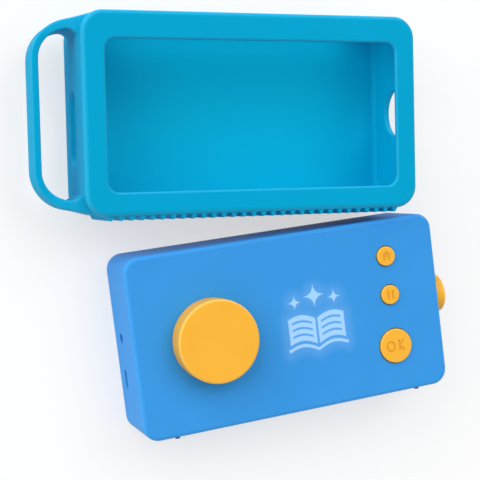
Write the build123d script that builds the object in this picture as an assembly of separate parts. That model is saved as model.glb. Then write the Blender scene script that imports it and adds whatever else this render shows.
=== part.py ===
from build123d import *
import os
from math import cos, pi, radians, sin, tan

# Audio story player for small children, lying on its back, with its silicone sleeve beside it.
# Millimetres. Origin: centre of the flat back face. +X right, +Y up the face, +Z out of the face.

# Casing
body_width = 156.0
body_height = 85.0
body_depth = 36.0
corner_radius = 7.5
wall = 2.4
front_edge_radius = 2.0
rear_edge_radius = 3.0
rear_cover_depth = 6.0
lip_height = 2.0
lip_thickness = 1.2
lip_gap = 0.1

# Case screws, one in each corner
boss_inset = 10.0
boss_radius = 3.6
boss_rib_thickness = 1.2
case_screw_radius = 1.25
case_screw_length = 12.0
screw_head_radius = 2.3
screw_head_height = 1.6
screw_head_gap = 0.3
screw_seat_depth = 2.6
post_height_over_floor = 5.1
thread_clearance = 0.02
drive_slot_width = 0.7
drive_slot_length = 2.8
drive_slot_depth = 0.7

# Main board, carried on four posts of the rear cover
board_thickness = 1.6
board_space_below = 8.0
board_wall_gap = 0.6
board_top_margin = 14.2
board_bottom_margin = 5.0
board_right_margin = 5.0
board_corner_notch_x = 17.0
board_corner_notch_y = 15.0
board_speaker_notch = 17.0
board_post_radius = 3.0
board_screw_radius = 1.0
board_screw_length = 6.0
board_post_side_inset = 14.0
board_post_top_inset = 22.5
board_post_lower_side_inset = 28.0
board_post_bottom_inset = 9.5

# Selector wheel and its rotary encoder
wheel_from_left = 37.5
wheel_from_bottom = 42.3
wheel_radius = 19.3
wheel_height = 11.0
wheel_face_gap = 0.4
wheel_skirt = 2.6
wheel_top_thickness = 2.8
wheel_edge_radius = 1.2
wheel_hub_radius = 5.2
shaft_radius = 3.0
shaft_running_gap = 0.05
shaft_hole_gap = 0.6
shaft_seat_gap = 0.02
encoder_side = 13.0
encoder_height = 6.5
encoder_bush_radius = 4.6
encoder_bush_height = 8.0

# Push buttons in one column by the right edge
buttons_from_right = 26.45
home_from_top = 17.9
pause_from_top = 36.8
ok_from_bottom = 23.0
small_button_radius = 4.7
ok_button_radius = 8.3
button_height = 1.2
button_edge_radius = 0.5
button_side_gap = 0.4
button_flange = 1.3
button_flange_thickness = 1.2
button_stop_gap = 0.1
button_stem_radius = 2.2
button_travel = 0.7
symbol_depth = 0.3
symbol_line = 0.9
house_roof_width = 5.2
house_roof_height = 2.4
house_wall_width = 3.6
house_wall_height = 2.3
house_door_width = 1.0
house_door_height = 1.6
house_eaves_height = 0.2
pause_bar_width = 1.1
pause_bar_height = 4.2
pause_bar_spacing = 2.4
letter_height = 5.4
letter_o_width = 4.8
letter_k_arm = 3.7
letter_k_slope = 48.0
letter_spacing = 5.8
switch_side = 6.0
switch_height = 4.2
plunger_radius = 1.75
plunger_rise = 1.2
plunger_depth = 2.0
plunger_gap = 0.05

# Lit picture behind a thin place in the face
display_from_right = 64.9
display_over_middle = 0.4
display_side = 36.0
display_skin = 0.9
display_side_gap = 0.3
diffuser_thickness = 0.4
panel_thickness = 1.8
display_frame_wall = 1.8
display_frame_overlap = 1.0
led_length = 3.5
led_width = 2.8
led_height = 1.9
led_offset = 9.0
ribbon_width = 12.0
ribbon_thickness = 0.3
ribbon_bend = 1.5

# Volume control on the right-hand side
volume_from_bottom = 43.0
volume_axis_over_board = 10.0
volume_knob_radius = 9.5
volume_knob_height = 9.0
volume_knob_dome = 2.9
volume_knob_edge_radius = 1.6
volume_face_gap = 0.4
pot_length = 7.0
pot_width = 11.5
pot_height = 16.0
pot_from_wall = 6.0
pot_bush_radius = 4.4
pot_shaft_engagement = 4.0
knob_shaft_engagement = 5.0

# Headphone and charging sockets on the left-hand side
jack_from_bottom = 46.1
jack_axis_over_board = 2.6
jack_body_length = 14.5
jack_body_width = 6.4
jack_body_height = 5.2
jack_bore_radius = 1.8
jack_bore_length = 13.0
jack_wall_hole_radius = 2.6
usb_from_bottom = 26.6
usb_width = 9.0
usb_height = 3.2
usb_length = 7.4
usb_shell = 0.35
usb_tongue_thickness = 0.7
usb_tongue_width = 6.6
usb_wall_gap = 0.35

# Chips, card socket and memory card on the board
processor_side = 10.0
processor_from_bottom = 37.0
flash_width = 8.0
flash_length = 6.0
flash_from_bottom = 22.0
amplifier_side = 5.0
amplifier_from_bottom = 52.0
chip_height = 1.0
card_length = 15.0
card_width = 11.0
card_thickness = 1.0
card_gap = 0.1
card_out = 2.0
card_socket_wall = 0.9
card_socket_floor = 0.4
card_from_right = 38.0
card_edge_margin = 1.0

# Loudspeaker firing through holes in the top wall
speaker_from_left = 78.0
speaker_radius = 14.0
speaker_ring_width = 2.4
speaker_flange_thickness = 1.0
speaker_depth = 8.0
speaker_back_radius = 9.6
speaker_sheet = 0.8
speaker_magnet_radius = 7.4
speaker_magnet_height = 3.6
speaker_gasket_thickness = 0.8
speaker_mesh_thickness = 0.2
speaker_mesh_gap = 0.1
cone_thickness = 0.25
cone_throat_radius = 4.0
cone_depth = 4.5
grille_hole_radius = 0.8
grille_pitch = 3.0
grille_rings = 3

# Battery under the board, on a foam pad
battery_from_left = 83.0
battery_from_bottom = 34.5
battery_length = 50.0
battery_width = 34.0
battery_thickness = 6.4
battery_corner_radius = 2.0
battery_foam_thickness = 0.8
battery_foam_margin = 3.0
lead_radius = 0.7
lead_run_share = 0.45

# Rubber feet under the bottom side
foot_radius = 1.2
foot_height = 0.9
foot_recess = 0.6
foot_recess_gap = 0.1
foot_side_inset = 16.0
foot_front_inset = 3.7
foot_rear_inset = 9.5

# Silicone sleeve with a carry handle, lying open side up above the player
sleeve_wall = 2.8
sleeve_gap = 0.2
sleeve_edge_radius = 2.4
sleeve_lip_side = 10.4
sleeve_lip_top = 12.6
sleeve_lip_bottom = 10.6
sleeve_window_radius = 5.0
sleeve_lip_edge_radius = 0.8
sleeve_slot_margin = 14.0
sleeve_slot_width = 24.0
sleeve_port_length = 34.0
sleeve_port_width = 12.0
sleeve_knob_hole_gap = 1.6
handle_reach = 20.0
handle_thickness = 3.4
handle_width = 22.0
handle_outer_radius = 18.0
handle_inner_radius = 12.0
handle_inset_y = 3.0
rib_pitch = 4.8
rib_depth = 2.0
rib_end_margin = 8.0
rib_side_margin = 1.2
sleeve_turn = -6.0
sleeve_shift_x = -7.0
sleeve_spacing = 2.0

# Places worked out from the sizes above
left_wall = -body_width / 2
right_wall = body_width / 2
bottom_wall = -body_height / 2
top_wall = body_height / 2
inner_face = body_depth - wall
board_bottom = wall + board_space_below
board_top = board_bottom + board_thickness
post_top = wall + post_height_over_floor
wheel_x = left_wall + wheel_from_left
wheel_y = bottom_wall + wheel_from_bottom
button_x = right_wall - buttons_from_right
home_y = top_wall - home_from_top
pause_y = top_wall - pause_from_top
ok_y = bottom_wall + ok_from_bottom
switch_top = board_top + switch_height
plunger_top = switch_top + plunger_rise
display_x = right_wall - display_from_right
display_y = (bottom_wall + top_wall) / 2 + display_over_middle
diffuser_back = body_depth - display_skin - diffuser_thickness
panel_back = diffuser_back - panel_thickness
volume_y = bottom_wall + volume_from_bottom
volume_z = board_top + volume_axis_over_board
pot_face_x = right_wall - wall - pot_from_wall
jack_y = bottom_wall + jack_from_bottom
jack_z = board_top + jack_axis_over_board
usb_y = bottom_wall + usb_from_bottom
usb_z = board_top + usb_height / 2
speaker_x = left_wall + speaker_from_left
speaker_z = body_depth / 2
inner_top = top_wall - wall
battery_x = left_wall + battery_from_left
battery_y = bottom_wall + battery_from_bottom
battery_bottom = wall + battery_foam_thickness
frame_outer_side = display_side - 2 * display_frame_overlap + 2 * display_frame_wall
encoder_right = wheel_x + encoder_side / 2
chip_x = (encoder_right + display_x - frame_outer_side / 2) / 2


def rounded_block(width, height, radius, bottom, top):
    """Upright block with rounded corners, centred on Z, between two heights."""
    outline = RectangleRounded(width, height, radius)
    return Pos(0, 0, bottom) * extrude(outline, top - bottom)


def block(x_range, y_range, z_range):
    """Box between two values on each axis."""
    size = [high - low for low, high in (x_range, y_range, z_range)]
    middle = [(high + low) / 2 for low, high in (x_range, y_range, z_range)]
    return Pos(*middle) * Box(*size)


def rod_z(x, y, radius, bottom, top):
    """Cylinder along Z between two heights."""
    return Pos(x, y, (bottom + top) / 2) * Cylinder(radius, top - bottom)


def rod_x(y, z, radius, start, end):
    """Cylinder along X between two places."""
    return Pos((start + end) / 2, y, z) * Rot(0, 90, 0) * Cylinder(radius, end - start)


def rod_y(x, z, radius, start, end):
    """Cylinder along Y between two places."""
    return Pos(x, (start + end) / 2, z) * Rot(90, 0, 0) * Cylinder(radius, end - start)


def edges_at_height(solid, height):
    """Every edge that lies flat at one height."""
    return solid.edges().filter_by_position(Axis.Z, height - 0.01, height + 0.01)


def case_screw_places():
    """Centres of the four corner screws."""
    x = right_wall - boss_inset
    y = top_wall - boss_inset
    return [(-x, -y), (x, -y), (-x, y), (x, y)]


def board_post_places():
    """Centres of the four posts that carry the board."""
    upper_x = right_wall - board_post_side_inset
    upper_y = top_wall - board_post_top_inset
    lower_x = right_wall - board_post_lower_side_inset
    lower_y = bottom_wall + board_post_bottom_inset
    return [(-upper_x, upper_y), (upper_x, upper_y), (-lower_x, lower_y), (lower_x, lower_y)]


def button_places():
    """Name, height up the face and radius of each push button."""
    return [
        ("home", home_y, small_button_radius),
        ("pause", pause_y, small_button_radius),
        ("ok", ok_y, ok_button_radius),
    ]


def foot_places():
    """X and Z of the four feet under the bottom side."""
    x = right_wall - foot_side_inset
    front = body_depth - foot_front_inset
    rear = foot_rear_inset
    return [(-x, front), (x, front), (-x, rear), (x, rear)]


def casing_block(bottom, top):
    """Full outer block of the casing between two heights."""
    return rounded_block(body_width, body_height, corner_radius, bottom, top)


def cavity_block(bottom, top, inset=0.0):
    """Space inside the side walls, or a smaller block inset from it."""
    shrink = 2 * (wall + inset)
    radius = corner_radius - wall - inset
    return rounded_block(body_width - shrink, body_height - shrink, radius, bottom, top)


def speaker_grille():
    """Holes in the top wall: one in the middle and rings of six, twelve and eighteen round it."""
    holes = [rod_y(speaker_x, speaker_z, grille_hole_radius, inner_top - 1, top_wall + 1)]
    for ring in range(1, grille_rings + 1):
        count = 6 * ring
        for step in range(count):
            angle = 2 * pi * step / count
            x = speaker_x + grille_pitch * ring * cos(angle)
            z = speaker_z + grille_pitch * ring * sin(angle)
            holes.append(rod_y(x, z, grille_hole_radius, inner_top - 1, top_wall + 1))
    return holes


def front_shell():
    """Face and side walls in one moulding, with screw bosses and every opening."""
    shell = casing_block(rear_cover_depth, body_depth)
    shell = fillet(edges_at_height(shell, body_depth), front_edge_radius)
    shell -= cavity_block(rear_cover_depth - 1, inner_face)
    for x, y in case_screw_places():
        shell += rod_z(x, y, boss_radius, post_top, inner_face)
        rib_ends = sorted((x, x / abs(x) * (right_wall - wall / 2)))
        rib_sides = (y - boss_rib_thickness / 2, y + boss_rib_thickness / 2)
        shell += block(rib_ends, rib_sides, (board_top, inner_face + wall / 2))
        pilot_radius = case_screw_radius + thread_clearance
        pilot_top = screw_seat_depth + case_screw_length + 1
        shell -= rod_z(x, y, pilot_radius, post_top - 1, pilot_top)
    shell -= rod_z(wheel_x, wheel_y, shaft_radius + shaft_hole_gap, inner_face - 1, body_depth + 1)
    for _, y, radius in button_places():
        shell -= rod_z(button_x, y, radius + button_side_gap, inner_face - 1, body_depth + 1)
    pocket = display_side + 2 * display_side_gap
    shell -= Pos(display_x, display_y) * rounded_block(
        pocket, pocket, 1.0, inner_face - 1, body_depth - display_skin
    )
    shell -= speaker_grille()
    shell -= rod_x(jack_y, jack_z, jack_wall_hole_radius, left_wall - 1, left_wall + wall + 1)
    shell -= usb_outline(usb_wall_gap, left_wall - 1, left_wall + wall + 1)
    volume_hole = shaft_radius + shaft_hole_gap
    shell -= rod_x(volume_y, volume_z, volume_hole, right_wall - wall - 1, right_wall + 1)
    for x, z in foot_places():
        recess_radius = foot_radius + foot_recess_gap
        shell -= rod_y(x, z, recess_radius, bottom_wall - 1, bottom_wall + foot_recess)
    return shell


def rear_cover():
    """Shallow tray with a locating lip, recessed screw posts and posts for the board."""
    cover = casing_block(0, rear_cover_depth)
    cover = fillet(edges_at_height(cover, 0), rear_edge_radius)
    cover -= cavity_block(wall, rear_cover_depth + 1)
    lip_top = rear_cover_depth + lip_height
    lip = cavity_block(wall, lip_top, lip_gap) - cavity_block(wall - 1, lip_top + 1, lip_gap + lip_thickness)
    lip_root = cavity_block(wall, rear_cover_depth) - cavity_block(wall - 1, rear_cover_depth + 1, lip_gap)
    speaker_room = block(
        (speaker_x - speaker_radius - 1, speaker_x + speaker_radius + 1),
        (0, top_wall),
        (wall, lip_top + 1),
    )
    cover += lip + lip_root - speaker_room
    for x, y in case_screw_places():
        cover += rod_z(x, y, boss_radius, 1, post_top)
        cover -= rod_z(x, y, screw_head_radius + screw_head_gap, -1, screw_seat_depth)
        cover -= rod_z(x, y, case_screw_radius + screw_head_gap, 0, post_top + 1)
    for x, y in board_post_places():
        cover += rod_z(x, y, board_post_radius, 1, board_bottom)
        pilot_bottom = board_top - board_screw_length - 0.5
        cover -= rod_z(x, y, board_screw_radius + thread_clearance, pilot_bottom, board_bottom + 1)
    return cover


def screw(x, y, seat, length, radius, points_up):
    """Pan-head screw with a cross drive, its head seat at one height."""
    reach = length if points_up else -length
    head = -screw_head_height if points_up else screw_head_height
    body = rod_z(x, y, radius, min(seat, seat + reach), max(seat, seat + reach))
    body += rod_z(x, y, screw_head_radius, min(seat, seat + head), max(seat, seat + head))
    top = seat + head
    for size_x, size_y in (
        (drive_slot_length, drive_slot_width),
        (drive_slot_width, drive_slot_length),
    ):
        body -= Pos(x, y, top) * Box(size_x, size_y, 2 * drive_slot_depth)
    return body


def case_screws():
    """Four self-tapping screws driven in from the back."""
    return [
        screw(x, y, screw_seat_depth, case_screw_length, case_screw_radius, True)
        for x, y in case_screw_places()
    ]


def board_screws():
    """Four short screws that hold the board down on its posts."""
    return [
        screw(x, y, board_top, board_screw_length, board_screw_radius, False)
        for x, y in board_post_places()
    ]


def main_board():
    """Circuit board, cut round the corner bosses and the loudspeaker."""
    left = left_wall + wall + board_wall_gap
    right = right_wall - board_right_margin
    bottom = bottom_wall + board_bottom_margin
    top = top_wall - board_top_margin
    heights = (board_bottom, board_top)
    cuts = (board_bottom - 1, board_top + 1)
    board = block((left, right), (bottom, top), heights)
    notch_x = right_wall - board_corner_notch_x
    notch_y = bottom_wall + board_corner_notch_y
    board -= block((left - 1, -notch_x), (bottom - 1, notch_y), cuts)
    board -= block((notch_x, right + 1), (bottom - 1, notch_y), cuts)
    board -= block(
        (speaker_x - board_speaker_notch, speaker_x + board_speaker_notch),
        (top_wall - board_speaker_notch, top + 1),
        cuts,
    )
    for x, y in board_post_places():
        board -= rod_z(x, y, board_screw_radius + thread_clearance, *cuts)
    return board


def board_chips():
    """Processor, flash memory and audio amplifier, soldered on top of the board."""
    chips = [
        (processor_from_bottom, processor_side, processor_side),
        (flash_from_bottom, flash_width, flash_length),
        (amplifier_from_bottom, amplifier_side, amplifier_side),
    ]
    return [
        Pos(chip_x, bottom_wall + height, board_top + chip_height / 2) * Box(width, length, chip_height)
        for height, width, length in chips
    ]


def card_places():
    """Middle of the memory card's socket and the card's underside height."""
    x = right_wall - card_from_right
    y = bottom_wall + board_bottom_margin + card_edge_margin + card_length / 2
    z = board_top + card_socket_floor + card_gap
    return x, y, z


def card_socket():
    """Metal-covered socket, open towards the bottom edge of the board."""
    x, y, z = card_places()
    half = card_width / 2 + card_gap + card_socket_wall
    slot = card_width / 2 + card_gap
    rear = y + card_length / 2 + card_gap
    front = y - card_length / 2 + card_out
    roof = z + card_thickness + card_gap
    body = block(
        (x - half, x + half),
        (front, rear + card_socket_wall),
        (board_top, roof + card_socket_floor),
    )
    return body - block((x - slot, x + slot), (front - 1, rear), (z - card_gap, roof))


def memory_card():
    """Small memory card with one cut corner, lying in its socket."""
    x, y, z = card_places()
    card = block(
        (x - card_width / 2, x + card_width / 2),
        (y - card_length / 2, y + card_length / 2),
        (z - card_gap, z - card_gap + card_thickness),
    )
    corner = card.edges().filter_by(Axis.Z).sort_by(Axis.Y)[-1]
    return chamfer(corner, 1.2)


def headphone_jack():
    """3.5 mm socket body with a blind bore that opens at the left wall."""
    start = left_wall + wall
    body = block(
        (start, start + jack_body_length),
        (jack_y - jack_body_width / 2, jack_y + jack_body_width / 2),
        (board_top, board_top + jack_body_height),
    )
    body = fillet(body.edges().filter_by(Axis.X).group_by(Axis.Z)[-1], 0.8)
    return body - rod_x(jack_y, jack_z, jack_bore_radius, start - 1, start + jack_bore_length)


def usb_outline(grow, start, end):
    """Pill-shaped bar along X at the charging socket, grown by one amount all round."""
    outline = SlotOverall(usb_width + 2 * grow, usb_height + 2 * grow)
    bar = extrude(Plane.YZ * outline, end - start)
    return Pos(start, usb_y, usb_z) * bar


def usb_socket():
    """Charging socket: steel shell with a contact tongue inside."""
    start = left_wall + wall / 2
    end = left_wall + wall + usb_length
    shell = usb_outline(0, start, end) - usb_outline(-usb_shell, start - 1, end - 1)
    tongue = block(
        (start + 0.8, end - 0.5),
        (usb_y - usb_tongue_width / 2, usb_y + usb_tongue_width / 2),
        (usb_z - usb_tongue_thickness / 2, usb_z + usb_tongue_thickness / 2),
    )
    return shell + tongue


def encoder_body():
    """Rotary encoder on the board, with the bush that carries the wheel's shaft."""
    top = board_top + encoder_height
    half = encoder_side / 2
    body = block((wheel_x - half, wheel_x + half), (wheel_y - half, wheel_y + half), (board_top, top))
    body = chamfer(body.edges().filter_by(Axis.Z), 1.0)
    body += rod_z(wheel_x, wheel_y, encoder_bush_radius, top - 1, top + encoder_bush_height)
    return body - rod_z(
        wheel_x, wheel_y, shaft_radius + shaft_running_gap, board_top + 1.5, top + encoder_bush_height + 1
    )


def wheel_shaft():
    """Shaft that turns in the encoder's bush and carries the wheel."""
    bottom = board_top + 2.0
    top = body_depth + wheel_height - wheel_top_thickness
    shaft = rod_z(wheel_x, wheel_y, shaft_radius, bottom, top)
    flat = block(
        (wheel_x + shaft_radius - 0.8, wheel_x + shaft_radius + 1),
        (wheel_y - shaft_radius, wheel_y + shaft_radius),
        (body_depth + 2, top + 1),
    )
    return shaft - flat


def selector_wheel():
    """Large round knob: a cap with a skirt and a hub that grips the shaft."""
    bottom = body_depth + wheel_face_gap
    top = body_depth + wheel_height
    knob = rod_z(wheel_x, wheel_y, wheel_radius, bottom, top)
    knob = fillet(edges_at_height(knob, top), wheel_edge_radius)
    knob -= rod_z(wheel_x, wheel_y, wheel_radius - wheel_skirt, bottom - 1, top - wheel_top_thickness)
    knob += rod_z(wheel_x, wheel_y, wheel_hub_radius, bottom + 0.4, top - wheel_top_thickness / 2)
    bore = rod_z(wheel_x, wheel_y, shaft_radius + shaft_seat_gap, bottom - 1, top - wheel_top_thickness)
    flat = block(
        (wheel_x + shaft_radius - 0.8 + shaft_seat_gap, wheel_x + shaft_radius + 1),
        (wheel_y - shaft_radius, wheel_y + shaft_radius),
        (body_depth + 2, top),
    )
    return knob - (bore - flat)


def home_symbol():
    """House outline: a roof over a square with a door."""
    eaves = house_roof_width / 2
    roof = Polygon((-eaves, 0), (eaves, 0), (0, house_roof_height), align=None)
    walls = Pos(0, -house_wall_height / 2) * Rectangle(house_wall_width, house_wall_height)
    door = Rectangle(house_door_width, house_door_height)
    door = Pos(0, house_door_height / 2 - house_wall_height) * door
    return Pos(0, house_eaves_height) * (roof + walls - door)


def pause_symbol():
    """Two upright bars."""
    bar = Rectangle(pause_bar_width, pause_bar_height)
    aside = pause_bar_spacing / 2
    return Pos(-aside, 0) * bar + Pos(aside, 0) * bar


def ok_symbol():
    """The letters O and K, drawn as plain strokes of one width."""
    half_width = letter_o_width / 2
    half_height = letter_height / 2
    letter_o = Ellipse(half_width, half_height)
    letter_o -= Ellipse(half_width - symbol_line, half_height - symbol_line)
    stem = Rectangle(symbol_line, letter_height)
    arm = Pos(letter_k_arm / 2, 0) * Rectangle(letter_k_arm, symbol_line)
    upper_arm = Rot(0, 0, letter_k_slope) * arm
    lower_arm = Rot(0, 0, -letter_k_slope) * arm
    letter_k = stem + upper_arm + lower_arm
    stem_x = (letter_spacing - half_width) / 2
    return Pos(-letter_spacing / 2, 0) * letter_o + Pos(stem_x, 0) * letter_k


def push_button(y, radius, symbol):
    """Cap with a sunk symbol, a flange behind the face and a stem down to its switch."""
    top = body_depth + button_height
    flange_top = inner_face - button_stop_gap
    cap = rod_z(button_x, y, radius, flange_top - 0.5, top)
    cap = fillet(edges_at_height(cap, top), button_edge_radius)
    cap += rod_z(button_x, y, radius + button_flange, flange_top - button_flange_thickness, flange_top)
    cap += rod_z(button_x, y, button_stem_radius, plunger_top, flange_top - 0.5)
    return cap - Pos(button_x, y, top - symbol_depth) * extrude(symbol, 1)


def button_switch(y):
    """Tactile switch on the board, with a blind hole for its plunger."""
    half = switch_side / 2
    body = block((button_x - half, button_x + half), (y - half, y + half), (board_top, switch_top))
    hole_bottom = switch_top - plunger_depth - button_travel - 0.2
    return body - rod_z(button_x, y, plunger_radius + plunger_gap, hole_bottom, switch_top + 1)


def switch_plunger(y):
    """Plunger that the button's stem pushes down into the switch."""
    return rod_z(button_x, y, plunger_radius, switch_top - plunger_depth, plunger_top)


def display_frame():
    """Dark square tube that keeps the light in and props the picture panel up."""
    inner = display_side - 2 * display_frame_overlap
    frame = rounded_block(frame_outer_side, frame_outer_side, 1.5, board_top, panel_back)
    frame -= rounded_block(inner, inner, 0.8, board_top - 1, panel_back + 1)
    return Pos(display_x, display_y) * frame


def display_panel():
    """Picture panel that the light shines through."""
    panel = rounded_block(display_side, display_side, 0.8, panel_back, diffuser_back)
    return Pos(display_x, display_y) * panel


def display_diffuser():
    """White film between the panel and the thin place in the face."""
    film = rounded_block(display_side, display_side, 0.8, diffuser_back, body_depth - display_skin)
    return Pos(display_x, display_y) * film


def backlight_leds():
    """Four white lights on the board inside the frame."""
    return [
        Pos(display_x + sx * led_offset, display_y + sy * led_offset, board_top + led_height / 2)
        * Box(led_length, led_width, led_height)
        for sx in (-1, 1)
        for sy in (-1, 1)
    ]


def display_ribbon():
    """Flat cable inside the frame, from the panel down to the board."""
    near = display_side / 2 - display_frame_overlap - 1.5
    top = panel_back
    middle = (top + board_top) / 2
    route = FilletPolyline(
        (-near + 2.5, top),
        (-near + 2.5, middle + 3.0),
        (-near, middle - 1.0),
        (-near, board_top),
        radius=ribbon_bend,
    )
    strip = Plane.YZ * trace(route, line_width=ribbon_thickness)
    ribbon = extrude(strip, ribbon_width / 2, both=True)
    return Pos(display_x, display_y, 0) * ribbon


def volume_pot():
    """Volume control standing on the board, its bush facing the right-hand wall."""
    body = block(
        (pot_face_x - pot_length, pot_face_x),
        (volume_y - pot_width / 2, volume_y + pot_width / 2),
        (board_top, board_top + pot_height),
    )
    bush_end = right_wall - wall - 0.4
    body += rod_x(volume_y, volume_z, pot_bush_radius, pot_face_x - 1, bush_end)
    bore_start = pot_face_x - pot_shaft_engagement - 0.3
    return body - rod_x(volume_y, volume_z, shaft_radius + shaft_running_gap, bore_start, bush_end + 1)


def volume_shaft():
    """Shaft between the volume control and its knob."""
    start = pot_face_x - pot_shaft_engagement
    end = right_wall + volume_face_gap + knob_shaft_engagement
    return rod_x(volume_y, volume_z, shaft_radius, start, end)


def volume_knob():
    """Domed round knob on the right-hand side."""
    start = volume_face_gap
    crown = volume_knob_height
    dome_radius = (volume_knob_radius**2 + volume_knob_dome**2) / (2 * volume_knob_dome)
    knob = rod_z(0, 0, volume_knob_radius, start, crown)
    knob &= Pos(0, 0, crown - dome_radius) * Sphere(dome_radius)
    knob = fillet(edges_at_height(knob, crown - volume_knob_dome), volume_knob_edge_radius)
    turned = Pos(right_wall, volume_y, volume_z) * Rot(0, 90, 0) * knob
    bore_end = right_wall + volume_face_gap + knob_shaft_engagement + shaft_seat_gap
    return turned - rod_x(volume_y, volume_z, shaft_radius + shaft_seat_gap, right_wall, bore_end)


def turned_on_speaker_axis(points):
    """Ring or cup turned about the loudspeaker's axis from radius and depth pairs."""
    outline = Plane.XY * make_face(Polyline(*points, close=True))
    ring = revolve(outline, Axis.Y)
    return Pos(speaker_x, inner_top, speaker_z) * ring


def speaker_gasket():
    """Foam ring that seals the loudspeaker to the top wall."""
    inner = speaker_radius - speaker_ring_width
    ring = Cylinder(speaker_radius, speaker_gasket_thickness) - Cylinder(inner, speaker_gasket_thickness)
    middle = inner_top - speaker_gasket_thickness / 2
    return Pos(speaker_x, middle, speaker_z) * Rot(90, 0, 0) * ring


def speaker_mesh():
    """Dust cloth behind the holes in the top wall."""
    radius = speaker_radius - speaker_ring_width - speaker_mesh_gap
    return rod_y(speaker_x, speaker_z, radius, inner_top - speaker_mesh_thickness, inner_top)


def speaker_basket():
    """Pressed steel basket: a flange, a sloping wall and a flat back."""
    top = -speaker_gasket_thickness - cone_thickness
    back = top - speaker_depth
    inner = speaker_radius - speaker_ring_width
    return turned_on_speaker_axis([
        (0, back),
        (speaker_back_radius, back),
        (speaker_back_radius, back + speaker_sheet),
        (inner + speaker_sheet, top - speaker_flange_thickness),
        (speaker_radius, top - speaker_flange_thickness),
        (speaker_radius, top),
        (inner, top),
        (inner, top - speaker_flange_thickness),
        (speaker_back_radius - speaker_sheet, back + speaker_sheet),
        (0, back + speaker_sheet),
    ])


def speaker_cone():
    """Paper cone and dust cap, with its rim glued to the basket's flange."""
    rim = -speaker_gasket_thickness - cone_thickness
    inner = speaker_radius - speaker_ring_width
    throat = rim - cone_depth
    return turned_on_speaker_axis([
        (0, throat),
        (cone_throat_radius, throat),
        (inner - 0.4, rim),
        (speaker_radius - 0.4, rim),
        (speaker_radius - 0.4, rim + cone_thickness),
        (inner - 0.6, rim + cone_thickness),
        (cone_throat_radius - 0.2, throat + cone_thickness),
        (0, throat + cone_thickness),
    ])


def speaker_magnet():
    """Round magnet on the back of the basket."""
    top = inner_top - speaker_gasket_thickness - cone_thickness - speaker_depth
    return rod_y(speaker_x, speaker_z, speaker_magnet_radius, top - speaker_magnet_height, top)


def lead(points):
    """Round two-core lead along straight runs joined by arcs as large as the runs allow."""
    corners = [Vector(*point) for point in points]
    runs = [end - start for start, end in zip(corners, corners[1:])]
    radii = []
    for first, second in zip(runs, runs[1:]):
        turn = radians(first.get_angle(second))
        shorter = min(first.length, second.length)
        radii.append(lead_run_share * shorter / tan(turn / 2))
    print("lead bend radii", [round(radius, 1) for radius in radii])
    route = FilletPolyline(*corners, radius=radii)
    section = Plane(corners[0], z_dir=runs[0]) * Circle(lead_radius)
    return sweep(section, path=route)


def speaker_lead():
    """Lead from the back of the loudspeaker down to the board."""
    back = inner_top - speaker_gasket_thickness - cone_thickness - speaker_depth
    start_x = speaker_x - speaker_magnet_radius - 1.2
    end_x = chip_x + 5.0
    end_y = back - 9.0
    return lead([
        (start_x, back, speaker_z),
        (start_x, back - 5.5, speaker_z),
        (end_x, end_y, speaker_z + 2.5),
        (end_x, end_y, board_top),
    ])


def battery_cell():
    """Flat rechargeable cell."""
    cell = rounded_block(
        battery_length, battery_width, battery_corner_radius,
        battery_bottom, battery_bottom + battery_thickness,
    )
    cell = fillet(edges_at_height(cell, battery_bottom + battery_thickness), 0.8)
    return Pos(battery_x, battery_y) * cell


def battery_foam():
    """Sticky foam pad between the cell and the rear cover."""
    pad = rounded_block(
        battery_length - 2 * battery_foam_margin,
        battery_width - 2 * battery_foam_margin,
        battery_corner_radius,
        wall,
        battery_bottom,
    )
    return Pos(battery_x, battery_y) * pad


def battery_lead():
    """Lead from the end of the cell up to the underside of the board."""
    start_x = battery_x - battery_length / 2
    start_z = battery_bottom + battery_thickness / 2
    return lead([
        (start_x, battery_y, start_z),
        (start_x - 5.5, battery_y, start_z),
        (start_x - 7.5, battery_y + 3.5, start_z),
        (start_x - 7.5, battery_y + 3.5, board_bottom),
    ])


def rubber_feet():
    """Four small discs set in shallow recesses under the bottom side."""
    return [
        rod_y(x, z, foot_radius, bottom_wall - foot_height, bottom_wall + foot_recess)
        for x, z in foot_places()
    ]


def grip_ribs(half_length, edge, bottom, top):
    """Row of small ridges along the sleeve's lower side."""
    count = int((2 * half_length - 2 * rib_end_margin) // rib_pitch)
    start = -count * rib_pitch / 2
    points = [(start, edge + rib_depth)]
    for step in range(count):
        points.append((start + step * rib_pitch, edge))
        points.append((start + (step + 0.5) * rib_pitch, edge - rib_depth))
    points.append((start + count * rib_pitch, edge))
    points.append((start + count * rib_pitch, edge + rib_depth))
    outline = make_face(Polyline(*points, close=True))
    return Pos(0, 0, bottom) * extrude(outline, top - bottom)


def carry_handle(half_length, half_height, middle):
    """Flat loop on the left-hand end, open for a hand."""
    left = -half_length - handle_reach
    right = -half_length + corner_radius + sleeve_wall
    tall = 2 * (half_height - handle_inset_y)
    outer = Pos((left + right) / 2, 0) * Rectangle(right - left, tall)
    outer = fillet(outer.vertices().group_by(Axis.X)[0], handle_outer_radius)
    hole_right = -half_length
    hole_left = left + handle_thickness
    hole_tall = tall - 2 * handle_thickness
    hole = Pos((hole_left + hole_right) / 2, 0) * Rectangle(hole_right - hole_left, hole_tall)
    hole = fillet(hole.vertices().group_by(Axis.X)[0], handle_inner_radius)
    loop = extrude(outer - hole, handle_width / 2, both=True)
    return Pos(0, 0, middle) * loop


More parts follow.
